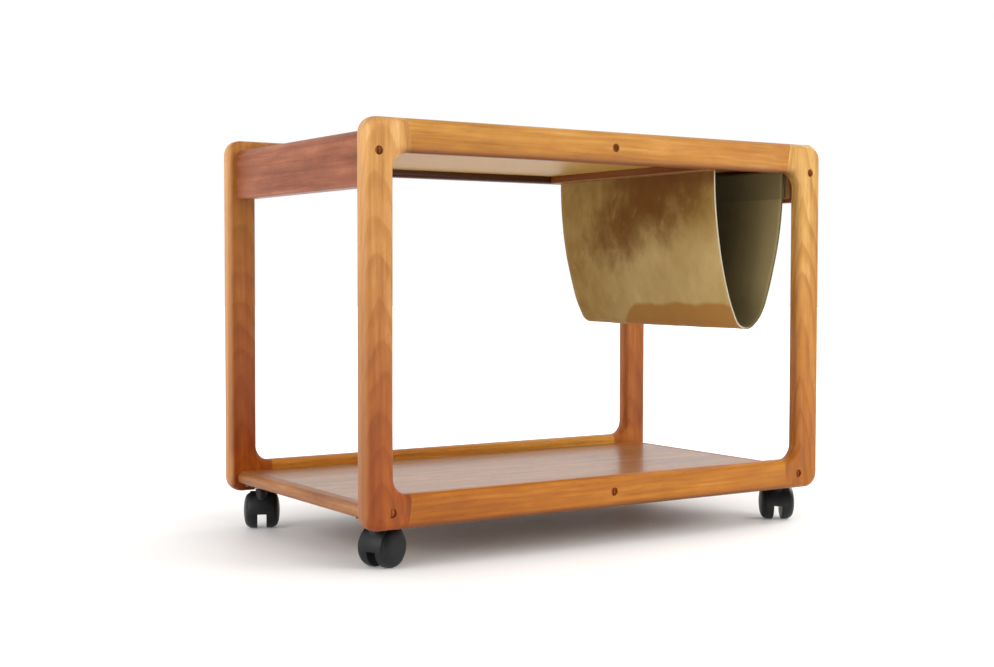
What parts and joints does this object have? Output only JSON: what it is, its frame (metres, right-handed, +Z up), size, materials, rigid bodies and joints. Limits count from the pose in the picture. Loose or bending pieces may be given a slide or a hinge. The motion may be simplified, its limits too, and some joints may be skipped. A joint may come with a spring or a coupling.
{
  "type": "magazine table with rack",
  "caption": "Low teak side table on swivel casters: rounded end-to-end frames, tray top, low shelf and a hanging suede sling that holds magazines.",
  "frame": {"origin": "on the floor, under the middle of the table", "axes": "+Z up, +X to the right along the front with the sling at the right, +Y from the front to the back"},
  "size_m": [0.71, 0.4, 0.5195],
  "materials": {
    "teak_frame": "oiled teak, satin",
    "teak_end_rail": "oiled teak, redder, satin",
    "teak_lipping": "oiled teak, satin",
    "teak_veneer": "veneer, satin lacquer",
    "batten_wood": "plain wood",
    "dowel_wood": "plain beech",
    "suede": "mottled tan suede",
    "screw_brass": "darkened brass",
    "caster_plastic": "black, slight sheen",
    "steel": "zinc plated"
  },
  "bodies": {
    "table": {"back_bottom_rail": "teak_frame", "back_frame_dowels": "dowel_wood", "back_frame_screws": "screw_brass", "back_left_caster_socket": "steel", "back_left_post": "teak_frame", "back_right_caster_socket": "steel", "back_right_post": "teak_frame", "back_top_rail": "teak_frame", "caster_plate_screws": "steel", "end_rail_dowels": "dowel_wood", "front_bottom_rail": "teak_frame", "front_frame_dowels": "dowel_wood", "front_frame_screws": "screw_brass", "front_left_caster_socket": "steel", "front_left_post": "teak_frame", "front_right_caster_socket": "steel", "front_right_post": "teak_frame", "front_top_rail": "teak_frame", "left_end_rail": "teak_end_rail", "magazine_sling": "suede", "right_end_rail": "teak_end_rail", "shelf_left_lipping": "teak_lipping", "shelf_panel": "teak_veneer", "shelf_right_lipping": "teak_lipping", "sling_batten_screws": "steel", "sling_left_batten": "batten_wood", "sling_right_batten": "batten_wood", "top_panel": "teak_veneer"},
    "front_left_caster": {"front_left_caster_hood": "caster_plastic", "front_left_caster_stem": "steel", "front_left_caster_axle": "steel"},
    "front_left_left_wheel": {"front_left_caster_left_wheel": "caster_plastic"},
    "front_left_right_wheel": {"front_left_caster_right_wheel": "caster_plastic"},
    "front_right_caster": {"front_right_caster_hood": "caster_plastic", "front_right_caster_stem": "steel", "front_right_caster_axle": "steel"},
    "front_right_left_wheel": {"front_right_caster_left_wheel": "caster_plastic"},
    "front_right_right_wheel": {"front_right_caster_right_wheel": "caster_plastic"},
    "back_left_caster": {"back_left_caster_hood": "caster_plastic", "back_left_caster_stem": "steel", "back_left_caster_axle": "steel"},
    "back_left_left_wheel": {"back_left_caster_left_wheel": "caster_plastic"},
    "back_left_right_wheel": {"back_left_caster_right_wheel": "caster_plastic"},
    "back_right_caster": {"back_right_caster_hood": "caster_plastic", "back_right_caster_stem": "steel", "back_right_caster_axle": "steel"},
    "back_right_left_wheel": {"back_right_caster_left_wheel": "caster_plastic"},
    "back_right_right_wheel": {"back_right_caster_right_wheel": "caster_plastic"}
  },
  "joints": [
    {"name": "front_left_swivel", "type": "hinge", "parent": "table", "child": "front_left_caster", "pos_m": [-0.318, -0.16, 0.024], "axis": [0, 0, 1], "continuous": true},
    {"name": "front_left_left_wheel_spin", "type": "hinge", "parent": "front_left_caster", "child": "front_left_left_wheel", "pos_m": [-0.30721, -0.15474, 0.024], "axis": [-0.4384, 0.8988, 0], "continuous": true},
    {"name": "front_left_right_wheel_spin", "type": "hinge", "parent": "front_left_caster", "child": "front_left_right_wheel", "pos_m": [-0.30721, -0.15474, 0.024], "axis": [-0.4384, 0.8988, 0], "continuous": true},
    {"name": "front_right_swivel", "type": "hinge", "parent": "table", "child": "front_right_caster", "pos_m": [0.318, -0.16, 0.024], "axis": [0, 0, 1], "continuous": true},
    {"name": "front_right_left_wheel_spin", "type": "hinge", "parent": "front_right_caster", "child": "front_right_left_wheel", "pos_m": [0.32488, -0.15017, 0.024], "axis": [-0.8192, 0.5736, 0], "continuous": true},
    {"name": "front_right_right_wheel_spin", "type": "hinge", "parent": "front_right_caster", "child": "front_right_right_wheel", "pos_m": [0.32488, -0.15017, 0.024], "axis": [-0.8192, 0.5736, 0], "continuous": true},
    {"name": "back_left_swivel", "type": "hinge", "parent": "table", "child": "back_left_caster", "pos_m": [-0.318, 0.16, 0.024], "axis": [0, 0, 1], "continuous": true},
    {"name": "back_left_left_wheel_spin", "type": "hinge", "parent": "back_left_caster", "child": "back_left_left_wheel", "pos_m": [-0.31312, 0.17096, 0.024], "axis": [-0.9135, 0.4067, 0], "continuous": true},
    {"name": "back_left_right_wheel_spin", "type": "hinge", "parent": "back_left_caster", "child": "back_left_right_wheel", "pos_m": [-0.31312, 0.17096, 0.024], "axis": [-0.9135, 0.4067, 0], "continuous": true},
    {"name": "back_right_swivel", "type": "hinge", "parent": "table", "child": "back_right_caster", "pos_m": [0.318, 0.16, 0.024], "axis": [0, 0, 1], "continuous": true},
    {"name": "back_right_left_wheel_spin", "type": "hinge", "parent": "back_right_caster", "child": "back_right_left_wheel", "pos_m": [0.32571, 0.16919, 0.024], "axis": [-0.766, 0.6428, 0], "continuous": true},
    {"name": "back_right_right_wheel_spin", "type": "hinge", "parent": "back_right_caster", "child": "back_right_right_wheel", "pos_m": [0.32571, 0.16919, 0.024], "axis": [-0.766, 0.6428, 0], "continuous": true}
  ]
}
